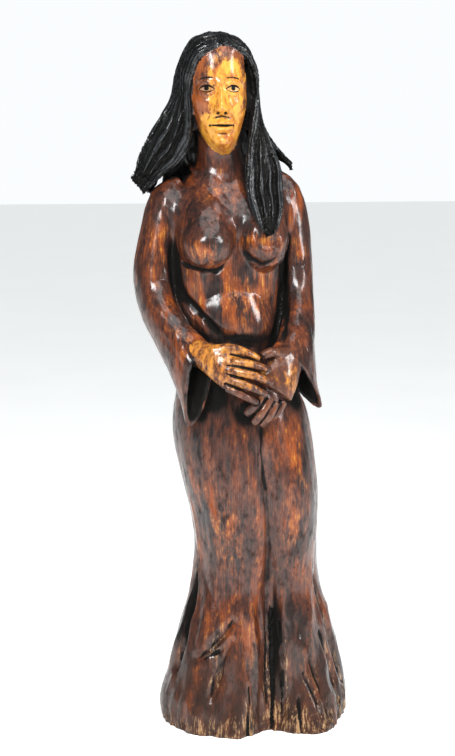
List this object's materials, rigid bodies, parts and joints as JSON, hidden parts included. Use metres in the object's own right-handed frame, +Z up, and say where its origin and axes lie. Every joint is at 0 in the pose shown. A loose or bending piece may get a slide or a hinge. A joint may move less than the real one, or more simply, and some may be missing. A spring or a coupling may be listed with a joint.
{
  "type": "carved wooden female figure",
  "caption": "Standing long-haired woman in a long flared dress with bell sleeves and folded hands, carved in the round from one bent log.",
  "frame": {"origin": "middle of the log's flat sawn underside, on the floor", "axes": "+Z up the log, the figure faces -Y, her left is +X"},
  "size_m": [0.3808, 0.3089, 1.2135],
  "materials": {
    "stained_wood": "dark stain under gloss varnish"
  },
  "bodies": {
    "root": {"carved_figure": "stained_wood"}
  },
  "joints": []
}
